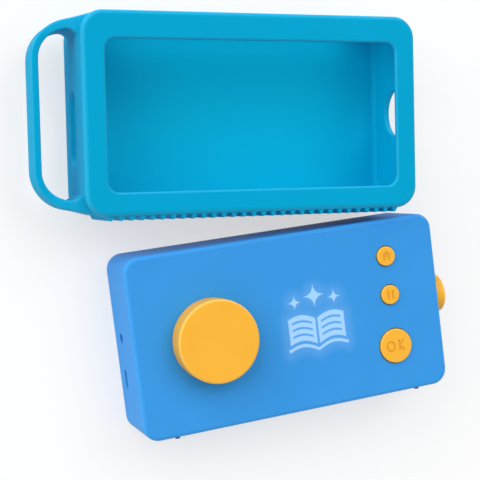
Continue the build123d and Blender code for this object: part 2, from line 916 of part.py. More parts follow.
def silicone_sleeve():
    """Soft sleeve in one piece: closed back, open face, long slot in the top and a handle."""
    inner_width = body_width + 2 * sleeve_gap
    inner_height = body_height + 2 * sleeve_gap
    inner_depth = body_depth + sleeve_gap
    depth = inner_depth + 2 * sleeve_wall
    half_length = inner_width / 2 + sleeve_wall
    half_height = inner_height / 2 + sleeve_wall
    outer_radius = corner_radius + sleeve_wall
    sleeve = rounded_block(2 * half_length, 2 * half_height, outer_radius, 0, depth)
    sleeve = fillet(edges_at_height(sleeve, 0) + edges_at_height(sleeve, depth), sleeve_edge_radius)
    sleeve += grip_ribs(half_length, -half_height, rib_side_margin, depth - rib_side_margin)
    sleeve += carry_handle(half_length, half_height, depth / 2)
    sleeve -= rounded_block(inner_width, inner_height, corner_radius, sleeve_wall, depth - sleeve_wall)
    window_width = 2 * half_length - 2 * sleeve_lip_side
    window_height = 2 * half_height - sleeve_lip_top - sleeve_lip_bottom
    window_y = (sleeve_lip_bottom - sleeve_lip_top) / 2
    sleeve -= Pos(0, window_y) * rounded_block(
        window_width, window_height, sleeve_window_radius, depth - sleeve_wall - 1, depth + 1
    )
    rim = [
        edge
        for edge in edges_at_height(sleeve, depth)
        if abs(edge.center().X) < window_width / 2 + 0.01
        and abs(edge.center().Y - window_y) < window_height / 2 + 0.01
    ]
    sleeve = fillet(rim, sleeve_lip_edge_radius)
    slot = SlotOverall(2 * half_length - 2 * sleeve_slot_margin, sleeve_slot_width)
    slot_bar = extrude(Plane.XZ * slot, 2 * sleeve_wall, both=True)
    sleeve -= Pos(0, half_height, depth / 2) * slot_bar
    socket_y = (jack_y + usb_y) / 2
    socket_z = sleeve_wall + (jack_z + usb_z) / 2
    port = SlotOverall(sleeve_port_length, sleeve_port_width)
    port_bar = extrude(Plane.YZ * port, sleeve_wall, both=True)
    sleeve -= Pos(-half_length + sleeve_wall / 2, socket_y, socket_z) * port_bar
    knob_hole = volume_knob_radius + sleeve_knob_hole_gap
    hole_start = half_length - sleeve_wall - 1
    sleeve -= rod_x(volume_y, sleeve_wall + volume_z, knob_hole, hole_start, half_length + 1)
    reach_down = half_height * cos(radians(sleeve_turn)) + half_length * abs(sin(radians(sleeve_turn)))
    place_y = top_wall + sleeve_spacing + rib_depth + reach_down
    return Pos(sleeve_shift_x, place_y, 0) * Rot(0, 0, sleeve_turn) * sleeve


def write(name, shape):
    """Write one node's solid, or its group of like solids, to its own file."""
    if isinstance(shape, (list, tuple)):
        shape = Compound(children=[piece.solid() for piece in shape])
    export_step(shape, "parts/" + name + ".step")


os.makedirs("parts", exist_ok=True)
pieces = {
    "front_shell": front_shell(),
    "rear_cover": rear_cover(),
    "case_screws": case_screws(),
    "main_board": main_board(),
    "board_screws": board_screws(),
    "board_chips": board_chips(),
    "card_socket": card_socket(),
    "memory_card": memory_card(),
    "headphone_jack": headphone_jack(),
    "usb_socket": usb_socket(),
    "encoder_body": encoder_body(),
    "wheel_shaft": wheel_shaft(),
    "selector_wheel": selector_wheel(),
    "display_frame": display_frame(),
    "display_panel": display_panel(),
    "display_diffuser": display_diffuser(),
    "backlight_leds": backlight_leds(),
    "display_ribbon": display_ribbon(),
    "volume_pot": volume_pot(),
    "volume_shaft": volume_shaft(),
    "volume_knob": volume_knob(),
    "speaker_gasket": speaker_gasket(),
    "speaker_mesh": speaker_mesh(),
    "speaker_basket": speaker_basket(),
    "speaker_cone": speaker_cone(),
    "speaker_magnet": speaker_magnet(),
    "speaker_lead": speaker_lead(),
    "battery_cell": battery_cell(),
    "battery_foam": battery_foam(),
    "battery_lead": battery_lead(),
    "rubber_feet": rubber_feet(),
    "silicone_sleeve": silicone_sleeve(),
}
symbols = {"home": home_symbol(), "pause": pause_symbol(), "ok": ok_symbol()}
for name, y, radius in button_places():
    pieces[name + "_button"] = push_button(y, radius, symbols[name])
    pieces[name + "_switch"] = button_switch(y)
    pieces[name + "_plunger"] = switch_plunger(y)
for name, shape in pieces.items():
    write(name, shape)
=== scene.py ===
import bmesh
import bpy
from math import copysign, cos, radians, sin
from mathutils import Matrix, Vector


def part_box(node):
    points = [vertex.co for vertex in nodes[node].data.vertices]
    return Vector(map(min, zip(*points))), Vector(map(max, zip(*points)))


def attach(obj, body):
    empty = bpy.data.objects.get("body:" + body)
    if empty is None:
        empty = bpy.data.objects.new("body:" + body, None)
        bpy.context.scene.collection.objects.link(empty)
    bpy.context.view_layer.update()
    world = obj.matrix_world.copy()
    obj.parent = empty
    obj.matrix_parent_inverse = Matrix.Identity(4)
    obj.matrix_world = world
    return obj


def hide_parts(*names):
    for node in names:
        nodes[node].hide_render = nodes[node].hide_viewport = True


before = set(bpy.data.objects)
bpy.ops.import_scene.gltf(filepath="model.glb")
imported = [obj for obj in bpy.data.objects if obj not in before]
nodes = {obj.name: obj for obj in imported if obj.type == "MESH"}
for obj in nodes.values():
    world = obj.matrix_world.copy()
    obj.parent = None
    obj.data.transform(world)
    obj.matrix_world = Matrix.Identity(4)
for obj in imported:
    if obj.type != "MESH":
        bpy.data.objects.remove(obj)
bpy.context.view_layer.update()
scene = bpy.context.scene
scene.view_settings.view_transform = "Standard"
mm = 0.001

# ---------------------------------------------------------------------------
# The table top and the light. A white table under an even white sky, with a broad
# window high at the top right and a broader, lower fill at the top left.
table_size = 4.0
table_drop = 0.2 * mm
table_colour = (0.97, 0.97, 0.97)
table_glow = 0.6
window_strength = 1.00
window_width = radians(45)
window_turn = (radians(-36), 0, radians(-40))
fill_strength = 2.0
fill_width = radians(70)
fill_turn = (radians(-65), 0, radians(42))
sky_strength = 0.50


def put(tree, socket, value):
    """Link a value that another node gives, or set a plain one. Three numbers are a colour."""
    if isinstance(value, bpy.types.NodeSocket):
        tree.links.new(value, socket)
    elif type(value) is tuple:
        socket.default_value = (*value, 1)
    else:
        socket.default_value = value


def new_finish(name, **plain_values):
    """Start a material and set plain values on its shader's own sockets."""
    finish = bpy.data.materials.new(name)
    finish.use_nodes = True
    tree = finish.node_tree
    shader = tree.nodes["Principled BSDF"].inputs
    for label, value in plain_values.items():
        put(tree, shader[label.replace("_", " ")], value)
    return finish, tree, shader


bpy.ops.object.select_all(action="DESELECT")
bpy.ops.mesh.primitive_plane_add(size=table_size, location=(0, 0, -table_drop))
table = bpy.context.object
table.name = "table_top"
table_paint = new_finish(
    "table_paint", Base_Color=table_colour, Roughness=0.9, Specular_IOR_Level=0.0
)[0]
table.data.materials.append(table_paint)


def add_node(tree, kind, values=(), **settings):
    """Add a shader node, set its properties, and fill its inputs."""
    node = tree.nodes.new("ShaderNode" + kind)
    for setting, value in settings.items():
        setattr(node, setting, value)
    for socket, value in dict(values).items():
        put(tree, node.inputs[socket], value)
    return node


def calculate(tree, operation, *values, clamp=False):
    """Add a Math node on up to three values and give its result."""
    node = add_node(tree, "Math", enumerate(values), operation=operation, use_clamp=clamp)
    return node.outputs[0]


def show_plain_white(tree, lit, last, share):
    """Mix plain white into what is seen directly or in a glossy surface, and not into the light."""
    lit_part = tree.nodes[lit].outputs[0]
    ray = add_node(tree, "LightPath").outputs
    seen = ray["Is Camera Ray"]
    for kind in ("Is Glossy Ray", "Is Transmission Ray"):
        seen = calculate(tree, "MAXIMUM", seen, ray[kind])
    part = calculate(tree, "MULTIPLY", seen, share)
    white = add_node(tree, "Emission").outputs[0]
    mix = add_node(tree, "MixShader", {0: part, 1: lit_part, 2: white})
    put(tree, tree.nodes[last].inputs["Surface"], mix.outputs[0])


show_plain_white(table_paint.node_tree, "Principled BSDF", "Material Output", table_glow)


def add_sun(name, strength, width, turn):
    """A sun lamp, which here stands for one broad window or panel."""
    lamp = bpy.data.lights.new(name, "SUN")
    lamp.energy = strength
    lamp.angle = width
    holder = bpy.data.objects.new(name, lamp)
    holder.rotation_euler = turn
    scene.collection.objects.link(holder)


add_sun("window_light", window_strength, window_width, window_turn)
add_sun("fill_light", fill_strength, fill_width, fill_turn)

# The sky looks plain white wherever it is seen, also in a glossy surface.
sky = bpy.data.worlds.new("sky")
sky.use_nodes = True
sky_light = sky.node_tree.nodes["Background"].inputs
sky_light["Color"].default_value = (1, 1, 1, 1)
sky_light["Strength"].default_value = sky_strength
show_plain_white(sky.node_tree, "Background", "World Output", 1.0)
scene.world = sky

# ---------------------------------------------------------------------------
# The camera looks down on the player from its left, a little beyond its top side,
# through a fairly long lens, which keeps the far side from looking small.
camera_place = Vector((-197.0, 89.6, 546.1)) * mm
camera_aim = Vector((-21.3, 43.1, 36.0)) * mm
camera_up = Vector((0.1442, 0.9887, -0.0405))
camera_data = bpy.data.cameras.new("camera")
camera_data.lens = 87.8
camera_data.sensor_width = 36.0
camera_back = (camera_place - camera_aim).normalized()
camera_right = camera_up.cross(camera_back).normalized()
camera_turn = Matrix((camera_right, camera_back.cross(camera_right), camera_back)).transposed()
camera = bpy.data.objects.new("camera", camera_data)
camera.matrix_world = Matrix.Translation(camera_place) @ camera_turn.to_4x4()
scene.collection.objects.link(camera)
scene.camera = camera

# ---------------------------------------------------------------------------
# The casing: a deep front shell and a shallow rear cover, injection moulded in
# one sky blue plastic. The mould is spark-eroded, which leaves a fine satin
# grain. The rounded edges get a painted highlight, a paler blue.
casing_colour = (0.038, 0.299, 0.744)
casing_patch_colour = (0.042, 0.313, 0.770)
# The paler edge colour and its share are a painted highlight on the rounded edges.
casing_highlight_colour = (0.08, 0.42, 0.95)
casing_highlight_share = 0.45
patch_contrast = 2.4
patch_start = -0.7
highlight_gain = 4.0


def start_group(name, inputs, outputs):
    """Make a shader group with its sockets, and give its input and output ends."""
    group = bpy.data.node_groups.new(name, "ShaderNodeTree")
    for label, kind, value in inputs:
        socket = group.interface.new_socket(label, in_out="INPUT", socket_type="NodeSocket" + kind)
        socket.default_value = value
    for label, kind in outputs:
        group.interface.new_socket(label, in_out="OUTPUT", socket_type="NodeSocket" + kind)
    way_in = group.nodes.new("NodeGroupInput")
    way_out = group.nodes.new("NodeGroupOutput")
    return group, way_in.outputs, way_out.inputs


def blend_colours(tree, share, first, second):
    """Add a colour Mix node and give its result."""
    node = add_node(tree, "Mix", {0: share, 6: first, 7: second}, data_type="RGBA")
    return node.outputs[2]


def object_place(tree):
    """Where a point lies on its piece."""
    return add_node(tree, "TexCoord").outputs["Object"]


def ways_of(tree, vector):
    """The parts of a vector along X, Y and Z."""
    return add_node(tree, "SeparateXYZ", {0: vector}).outputs


def make_grain_group():
    """Moulded grain: faint broad patches in the colour and a fine satin relief."""
    group, given, wanted = start_group(
        "moulded_grain",
        (
            ("Colour", "Color", (0.5, 0.5, 0.5, 1)),
            ("Patch Colour", "Color", (0.6, 0.6, 0.6, 1)),
            ("Patches", "Float", 30.0),
            ("Grain", "Float", 2500.0),
            ("Relief", "Float", 0.00002),
            ("Roughness", "Float", 0.5),
            ("Spread", "Float", 0.10),
        ),
        (("Colour", "Color"), ("Roughness", "Float"), ("Normal", "Vector")),
    )
    place = object_place(group)
    patch_values = {"Vector": place, "Scale": given["Patches"]}
    patches = add_node(group, "TexNoise", patch_values).outputs["Fac"]
    grain_values = {"Vector": place, "Scale": given["Grain"], "Detail": 1.0}
    grain = add_node(group, "TexNoise", grain_values).outputs["Fac"]
    share = calculate(group, "MULTIPLY_ADD", patches, patch_contrast, patch_start, clamp=True)
    put(group, wanted["Colour"], blend_colours(group, share, given["Colour"], given["Patch Colour"]))
    around = calculate(group, "SUBTRACT", calculate(group, "ADD", patches, grain), 1.0)
    rough = calculate(group, "MULTIPLY_ADD", around, given["Spread"], given["Roughness"])
    put(group, wanted["Roughness"], rough)
    relief = add_node(group, "Bump", {"Height": grain, "Distance": given["Relief"]})
    put(group, wanted["Normal"], relief.outputs["Normal"])
    return group


def make_highlight_group():
    """A mask for a painted highlight on rounded edges: 0 on the ends and sides about an axis, and up
    to 1 between.
    """
    group, given, wanted = start_group(
        "painted_edge_highlight", (("Axis", "Vector", (0, 0, 1)),), (("Highlight", "Float"),)
    )
    surface = add_node(group, "TexCoord").outputs["Normal"]
    both = {0: surface, 1: given["Axis"]}
    along = add_node(group, "VectorMath", both, operation="DOT_PRODUCT").outputs["Value"]
    slope = calculate(group, "ABSOLUTE", along)
    share = calculate(group, "MULTIPLY", slope, calculate(group, "SUBTRACT", 1.0, slope))
    put(group, wanted["Highlight"], calculate(group, "MULTIPLY", share, highlight_gain))
    return group


grain_group = make_grain_group()
highlight_group = make_highlight_group()


def place_group(tree, group, **values):
    """Put a shader group into a material with its own values."""
    node = add_node(tree, "Group")
    node.node_tree = group
    for label, value in values.items():
        put(tree, node.inputs[label.replace("_", " ")], value)
    return node.outputs


def lay_on(tree, shader, skin, colour):
    """Give the shader a colour, and the roughness and relief of a skin."""
    put(tree, shader["Base Color"], colour)
    put(tree, shader["Roughness"], skin["Roughness"])
    put(tree, shader["Normal"], skin["Normal"])


def moulded_finish(name, colour, patch_colour, grain, edge=None, **plain_values):
    """A moulded material: grain all over, and a painted highlight on a rounded edge where one is
    given.
    """
    finish, tree, shader = new_finish(name, **plain_values)
    skin = place_group(tree, grain_group, Colour=colour, Patch_Colour=patch_colour, **grain)
    shown = skin["Colour"]
    # A given edge is a painted highlight: a paler colour mixed onto the rounded edges.
    if edge:
        highlight_colour, highlight_share, highlight_axis = edge
        rounded = place_group(tree, highlight_group, Axis=Vector(highlight_axis))["Highlight"]
        share = calculate(tree, "MULTIPLY", rounded, highlight_share)
        shown = blend_colours(tree, share, shown, highlight_colour)
    lay_on(tree, shader, skin, shown)
    return finish


def dress(finish, *names):
    """Give CAD nodes a material in place of the one they came with."""
    for name in names:
        for slot in nodes[name].material_slots:
            slot.material = finish


casing_finish = moulded_finish(
    "casing_blue_satin",
    casing_colour,
    casing_patch_colour,
    {"Roughness": 0.50, "Relief": 0.015 * mm},
    edge=(casing_highlight_colour, casing_highlight_share, (0, 0, 1)),
    Specular_IOR_Level=0.10,
)
dress(casing_finish, "front_shell", "rear_cover")

# ---------------------------------------------------------------------------
# The lit picture. The face is thinned to a skin over a small panel, whose light
# shines through it as an open book under three stars, soft at its edges and
# with a faint glow around it. Its sizes are in millimetres.
picture_place = Vector((11.8, 1.9, 0)) * mm
picture_light = (0.92, 0.97, 0.85)
picture_strength = 0.37
page_width = 14.4
page_height = 12.4
page_gap = 1.0
page_lift = 2.8
page_wave = 2.7
page_bottom = -13.6
cover_gap = 1.5
cover_line = 1.6
cover_overhang = 1.0
text_pitch = 3.2
text_line = 0.9
text_margin = 2.4
stars = ((-10.2, 7.8, 4.0), (0.0, 9.8, 6.4), (10.2, 7.8, 4.0))
star_core = 0.45
star_sharpness = 2.0
soft_edge = 0.45
glow_reach = 6.5
glow_share = 0.15
glow_merge = 4.0
skin_reach = 0.3 * mm


def measure(tree, across, up):
    """The straight distance of a step across and a step up."""
    squares = [calculate(tree, "MULTIPLY", way, way) for way in (across, up)]
    return calculate(tree, "SQRT", calculate(tree, "ADD", *squares))


def soft_share(tree, value, start, end, top):
    """A value's way from a start to an end, as a share that rises gently to a top."""
    values = {"Value": value, "From Min": start, "From Max": end, "To Max": top}
    return add_node(tree, "MapRange", values, interpolation_type="SMOOTHSTEP").outputs[0]


def make_picture_group():
    """The picture as one mask: the lit shapes, and the glow that spreads from them."""
    group, given, wanted = start_group("lit_picture", (), (("Light", "Float"),))
    place = object_place(group)
    centred = add_node(group, "VectorMath", {0: place, 1: picture_place}, operation="SUBTRACT")
    scaled = add_node(group, "VectorMath", {0: centred.outputs[0], 3: 1 / mm}, operation="SCALE")
    parts = ways_of(group, scaled.outputs[0])
    across, up = parts["X"], parts["Y"]
    side = calculate(group, "ABSOLUTE", across)

    # Both long edges of a page follow one wave from the spine to the outer edge.
    share = calculate(group, "DIVIDE", side, page_width, clamp=True)
    arch = calculate(group, "SINE", calculate(group, "MULTIPLY", share, page_wave))
    over_bottom = calculate(group, "SUBTRACT", up, page_bottom)
    over_wave = calculate(group, "MULTIPLY_ADD", arch, -page_lift, over_bottom)
    middle = calculate(group, "SUBTRACT", over_wave, page_height / 2)
    from_middle = calculate(group, "ABSOLUTE", middle)
    past_page = calculate(group, "SUBTRACT", from_middle, page_height / 2)
    past_side = calculate(group, "SUBTRACT", side, page_width)
    past_gap = calculate(group, "SUBTRACT", page_gap / 2, side)
    page = calculate(group, "MAXIMUM", calculate(group, "MAXIMUM", past_page, past_side), past_gap)

    # Lines of text are unlit bars across the pages.
    row = calculate(group, "PINGPONG", middle, text_pitch / 2)
    past_row = calculate(group, "SUBTRACT", row, text_line / 2)
    page_middle = (page_width + page_gap / 2) / 2
    from_centre = calculate(group, "ABSOLUTE", calculate(group, "SUBTRACT", side, page_middle))
    past_text = calculate(group, "SUBTRACT", from_centre, page_middle - text_margin)
    over_text = calculate(group, "SUBTRACT", from_middle, page_height / 2 - text_margin)
    past_text = calculate(group, "MAXIMUM", past_text, over_text)
    text = calculate(group, "MAXIMUM", past_row, past_text)
    page_cut = calculate(group, "MAXIMUM", page, calculate(group, "MULTIPLY", text, -1))

    # The cover shows as a line under the pages, with the same wave.
    cover_middle = -(cover_gap + cover_line / 2)
    from_cover = calculate(group, "ABSOLUTE", calculate(group, "SUBTRACT", over_wave, cover_middle))
    past_line = calculate(group, "SUBTRACT", from_cover, cover_line / 2)
    past_cover = calculate(group, "SUBTRACT", past_side, cover_overhang)
    nearest = calculate(group, "MINIMUM", page_cut, calculate(group, "MAXIMUM", past_line, past_cover))

    # The glow spreads from the book as a whole, round its corners.
    book_height = page_height + cover_gap + cover_line
    from_book = calculate(group, "SUBTRACT", over_wave, page_height - book_height / 2)
    from_book = calculate(group, "ABSOLUTE", from_book)
    past_book = calculate(group, "SUBTRACT", from_book, book_height / 2)
    steps = [calculate(group, "MAXIMUM", way, 0.0) for way in (past_side, past_book)]
    glow_edge = measure(group, *steps)

    # A star has four points and hollow sides; its glow is round.
    for star_across, star_up, star_size in stars:
        aside = calculate(group, "ABSOLUTE", calculate(group, "SUBTRACT", across, star_across))
        above = calculate(group, "ABSOLUTE", calculate(group, "SUBTRACT", up, star_up))
        roots = [calculate(group, "SQRT", way) for way in (aside, above)]
        star = calculate(group, "SUBTRACT", calculate(group, "ADD", *roots), star_size**0.5)
        past_star = calculate(group, "MULTIPLY", star, star_sharpness)
        nearest = calculate(group, "MINIMUM", nearest, past_star)
        away = measure(group, aside, above)
        round_edge = calculate(group, "SUBTRACT", away, star_size * star_core)
        glow_edge = calculate(group, "SMOOTH_MIN", glow_edge, round_edge, glow_merge)

    lit = soft_share(group, nearest, soft_edge, -soft_edge, 1.0)
    glow = soft_share(group, glow_edge, glow_reach, 0.0, glow_share)
    both = calculate(group, "MAXIMUM", lit, glow)

    # Only the skin of the face lets the light through, not what lies deeper.
    skin_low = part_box("front_shell")[1].z - skin_reach
    on_face = calculate(group, "GREATER_THAN", ways_of(group, place)["Z"], skin_low)
    put(group, wanted["Light"], calculate(group, "MULTIPLY", both, on_face))
    return group


face_finish = casing_finish.copy()
face_finish.name = "casing_blue_lit"
face_tree = face_finish.node_tree
face_shader = face_tree.nodes["Principled BSDF"].inputs
picture = place_group(face_tree, make_picture_group())["Light"]
shining = blend_colours(face_tree, picture, (0, 0, 0), picture_light)
put(face_tree, face_shader["Emission Color"], shining)
face_shader["Emission Strength"].default_value = picture_strength
dress(face_finish, "front_shell")

# ---------------------------------------------------------------------------
# The selector wheel, the three push buttons and the volume knob: satin plastic
# dyed warm yellow. The wheel and knob press onto their shafts, and the buttons
# drop into the face from behind. Their symbols are sunk in the mould.
control_colour = (0.925, 0.452, 0.034)
control_patch_colour = (0.950, 0.468, 0.040)
# The paler rim colour of the wheel, buttons and knob is a painted highlight.
control_highlight_colour = (1.0, 0.60, 0.14)
control_highlight_share = 0.8
# The deeper colour of the sunk symbols' floors is a painted shade.
symbol_shade_colour = (0.780, 0.360, 0.024)
symbol_blur = 0.08 * mm
symbol_floor = 0.15 * mm
level_slope = 0.9


def control_finish(name, axis):
    """The controls' yellow, with a painted highlight on its rounded edges about one axis."""
    return moulded_finish(
        name,
        control_colour,
        control_patch_colour,
        {"Patches": 45.0, "Roughness": 0.40, "Relief": 0.010 * mm},
        edge=(control_highlight_colour, control_highlight_share, axis),
        Specular_IOR_Level=0.20,
    )


dress(control_finish("wheel_yellow_satin", (0, 0, 1)), "selector_wheel")
dress(control_finish("knob_yellow_satin", (1, 0, 0)), "volume_knob")

# The floors of the sunk symbols are painted a deeper colour, a painted shade in the recesses.
button_finish = control_finish("button_yellow_satin", (0, 0, 1))
button_tree = button_finish.node_tree
button_shader = button_tree.nodes["Principled BSDF"].inputs
symbol_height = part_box("ok_button")[1].z - symbol_floor
symbol_edge = {
    "Value": ways_of(button_tree, object_place(button_tree))["Z"],
    "From Min": symbol_height + symbol_blur,
    "From Max": symbol_height - symbol_blur,
}
sunk = add_node(button_tree, "MapRange", symbol_edge).outputs[0]
button_normal = add_node(button_tree, "NewGeometry").outputs["Normal"]
facing = ways_of(button_tree, button_normal)["Z"]
level = calculate(button_tree, "GREATER_THAN", facing, level_slope)
shaded_symbol_floor = calculate(button_tree, "MULTIPLY", sunk, level)
button_colour = button_shader["Base Color"].links[0].from_socket
button_shown = blend_colours(button_tree, shaded_symbol_floor, button_colour, symbol_shade_colour)
put(button_tree, button_shader["Base Color"], button_shown)
dress(button_finish, "home_button", "pause_button", "ok_button")

# ---------------------------------------------------------------------------
# The rubber feet: four round pads set in shallow recesses in the bottom side, so
# that the player can stand upright.
foot_finish = moulded_finish(
    "foot_rubber",
    (0.016, 0.085, 0.240),
    (0.020, 0.095, 0.260),
    {"Patches": 200.0, "Grain": 1800.0, "Roughness": 0.7, "Relief": 0.03 * mm},
    Specular_IOR_Level=0.3,
)
dress(foot_finish, "rubber_feet")

# ---------------------------------------------------------------------------
# The screws: zinc-plated steel, four for the case and four for the board. The
# head is turned, and its plating has a faint cold cast.
stain_scale = 240.0
stain_contrast = 2.0
stain_start = -0.6
streak_spread = 0.3


def make_metal_group():
    """Worked metal: fine streaks along one direction, and broad stains."""
    group, given, wanted = start_group(
        "worked_metal",
        (
            ("Colour", "Color", (0.6, 0.6, 0.6, 1)),
            ("Stain Colour", "Color", (0.5, 0.5, 0.5, 1)),
            ("Streaks", "Vector", (400.0, 400.0, 4000.0)),
            ("Roughness", "Float", 0.3),
            ("Relief", "Float", 0.000005),
        ),
        (("Colour", "Color"), ("Roughness", "Float"), ("Normal", "Vector")),
    )
    place = object_place(group)
    drawn = add_node(group, "VectorMath", {0: place, 1: given["Streaks"]}, operation="MULTIPLY")
    streak_values = {"Vector": drawn.outputs[0], "Scale": 1.0}
    streaks = add_node(group, "TexNoise", streak_values).outputs["Fac"]
    stain_values = {"Vector": place, "Scale": stain_scale, "Detail": 3.0}
    stains = add_node(group, "TexNoise", stain_values).outputs["Fac"]
    share = calculate(group, "MULTIPLY_ADD", stains, stain_contrast, stain_start, clamp=True)
    put(group, wanted["Colour"], blend_colours(group, share, given["Colour"], given["Stain Colour"]))
    around = calculate(group, "SUBTRACT", streaks, 0.5)
    rough = calculate(group, "MULTIPLY_ADD", around, streak_spread, given["Roughness"])
    put(group, wanted["Roughness"], rough)
    relief = add_node(group, "Bump", {"Height": streaks, "Distance": given["Relief"]})
    put(group, wanted["Normal"], relief.outputs["Normal"])
    return group


metal_group = make_metal_group()


def metal_finish(name, colour, stain_colour, **values):
    """A metal surface with its own colour, stains and streaks."""
    finish, tree, shader = new_finish(name, Metallic=1.0)
    worked = place_group(tree, metal_group, Colour=colour, Stain_Colour=stain_colour, **values)
    lay_on(tree, shader, worked, worked["Colour"])
    return finish


screw_finish = metal_finish("zinc_plate", (0.62, 0.65, 0.70), (0.52, 0.54, 0.60), Roughness=0.32)
dress(screw_finish, "case_screws", "board_screws")

# ---------------------------------------------------------------------------
# The sockets on the left-hand side: a headphone socket moulded in black nylon,
# and a charging socket in a folded tin-plated shell. The switches' bodies share the
# nylon; the card socket, the encoder and the volume control share the tin plate.
nylon_finish = moulded_finish(
    "socket_nylon",
    (0.012, 0.012, 0.014),
    (0.018, 0.018, 0.020),
    {"Patches": 120.0, "Roughness": 0.5},
    Specular_IOR_Level=0.5,
)
dress(nylon_finish, "headphone_jack", "home_switch", "pause_switch", "ok_switch")
tin_finish = metal_finish("tin_plate", (0.66, 0.66, 0.68), (0.55, 0.55, 0.57), Roughness=0.28)
dress(tin_finish, "usb_socket", "card_socket", "encoder_body", "volume_pot")

# ---------------------------------------------------------------------------
# The shafts of the wheel and the volume control: turned steel, which shows the
# tool's fine rings round its length.
steel_colours = ((0.56, 0.56, 0.58), (0.48, 0.48, 0.50))
rings_on_z = Vector((300, 300, 6000))
rings_on_x = Vector((6000, 300, 300))
dress(metal_finish("turned_steel", *steel_colours, Streaks=rings_on_z), "wheel_shaft")
dress(metal_finish("turned_steel_across", *steel_colours, Streaks=rings_on_x), "volume_shaft")

# ---------------------------------------------------------------------------
# The main board: glass-fibre laminate under green solder mask, through which
# the copper tracks show as paler lines. Its edge shows the bare laminate.
mask_colour = (0.008, 0.110, 0.040)
mask_patch_colour = (0.010, 0.125, 0.046)
track_colour = (0.030, 0.200, 0.075)
laminate_colour = (0.42, 0.36, 0.16)
track_cells = {"Scale": 210.0, "Randomness": 0.35}
track_reach = 0.10
track_core = 0.06
edge_slope = 0.5

board_finish, board_tree, board_shader = new_finish("board_mask", Specular_IOR_Level=0.5)
cell_values = {"Vector": object_place(board_tree), **track_cells}
cells = add_node(board_tree, "TexVoronoi", cell_values, feature="DISTANCE_TO_EDGE")
track_edge = {
    "Value": cells.outputs["Distance"],
    "From Min": track_reach,
    "From Max": track_core,
}
tracks = add_node(board_tree, "MapRange", track_edge).outputs[0]
mask = place_group(
    board_tree, grain_group, Colour=mask_colour, Patch_Colour=mask_patch_colour, Roughness=0.3
)
board_face = blend_colours(board_tree, tracks, mask["Colour"], track_colour)
board_normal = add_node(board_tree, "NewGeometry").outputs["Normal"]
board_slope = calculate(board_tree, "ABSOLUTE", ways_of(board_tree, board_normal)["Z"])
on_edge = calculate(board_tree, "LESS_THAN", board_slope, edge_slope)
board_colour = blend_colours(board_tree, on_edge, board_face, laminate_colour)
lay_on(board_tree, board_shader, mask, board_colour)
dress(board_finish, "main_board")

# ---------------------------------------------------------------------------
# Small moulded parts on the board: the chips in black epoxy, the plungers of
# the three switches, the memory card, and the frame that holds the lit panel.
epoxy_finish = moulded_finish(
    "chip_epoxy",
    (0.010, 0.010, 0.012),
    (0.015, 0.015, 0.017),
    {"Patches": 300.0, "Grain": 5000.0, "Roughness": 0.62, "Relief": 0.01 * mm},
)
dress(epoxy_finish, "board_chips")
small_black_finish = moulded_finish(
    "small_black_moulding",
    (0.008, 0.008, 0.009),
    (0.013, 0.013, 0.014),
    {"Patches": 90.0, "Roughness": 0.45},
)
dress(small_black_finish, "home_plunger", "pause_plunger", "ok_plunger")
dress(small_black_finish, "memory_card", "display_frame")

# ---------------------------------------------------------------------------
# The lit panel's stack: the panel's film, a white diffuser over it, four white
# light diodes on the board behind it, and the amber ribbon from it to the board.
film_finish = moulded_finish(
    "panel_film",
    (0.70, 0.80, 0.90),
    (0.66, 0.77, 0.88),
    {"Patches": 60.0, "Grain": 900.0, "Roughness": 0.15, "Relief": 0.001 * mm},
)
dress(film_finish, "display_panel")
diffuser_finish = moulded_finish(
    "diffuser_film",
    (0.86, 0.88, 0.90),
    (0.82, 0.85, 0.88),
    {"Patches": 60.0, "Grain": 4000.0, "Roughness": 0.7},
    Subsurface_Weight=0.2,
)
dress(diffuser_finish, "display_diffuser")

# The diodes' resin is cloudy with yellow phosphor.
resin_colour = (0.90, 0.84, 0.40)
phosphor_colour = (0.92, 0.90, 0.74)
cloud_scale = 900.0
diode_finish, diode_tree, diode_shader = new_finish(
    "diode_resin", Coat_Weight=0.6, Emission_Strength=0.5
)
cloud_values = {"Vector": object_place(diode_tree), "Scale": cloud_scale}
clouds = add_node(diode_tree, "TexNoise", cloud_values).outputs["Fac"]
diode_colour = blend_colours(diode_tree, clouds, resin_colour, phosphor_colour)
put(diode_tree, diode_shader["Base Color"], diode_colour)
put(diode_tree, diode_shader["Emission Color"], diode_colour)
dress(diode_finish, "backlight_leds")

# The ribbon's copper wires show through its film as paler stripes.
film_colour = (0.45, 0.16, 0.015)
film_patch_colour = (0.48, 0.18, 0.02)
wire_colour = (0.62, 0.27, 0.06)
wire_spacing = 0.5 * mm
wire_start = 0.22 * mm
wire_full = 0.28 * mm
ribbon_finish, ribbon_tree, ribbon_shader = new_finish("ribbon_polyimide", Coat_Weight=0.3)
ribbon_across = ways_of(ribbon_tree, object_place(ribbon_tree))["X"]
from_wire = calculate(ribbon_tree, "PINGPONG", ribbon_across, wire_spacing)
wire_edge = {"Value": from_wire, "From Min": wire_start, "From Max": wire_full}
wires = add_node(ribbon_tree, "MapRange", wire_edge).outputs[0]
polyimide = place_group(
    ribbon_tree, grain_group, Colour=film_colour, Patch_Colour=film_patch_colour, Roughness=0.25
)
ribbon_colour = blend_colours(ribbon_tree, wires, polyimide["Colour"], wire_colour)
put(ribbon_tree, ribbon_shader["Base Color"], ribbon_colour)
put(ribbon_tree, ribbon_shader["Roughness"], polyimide["Roughness"])
dress(ribbon_finish, "display_ribbon")

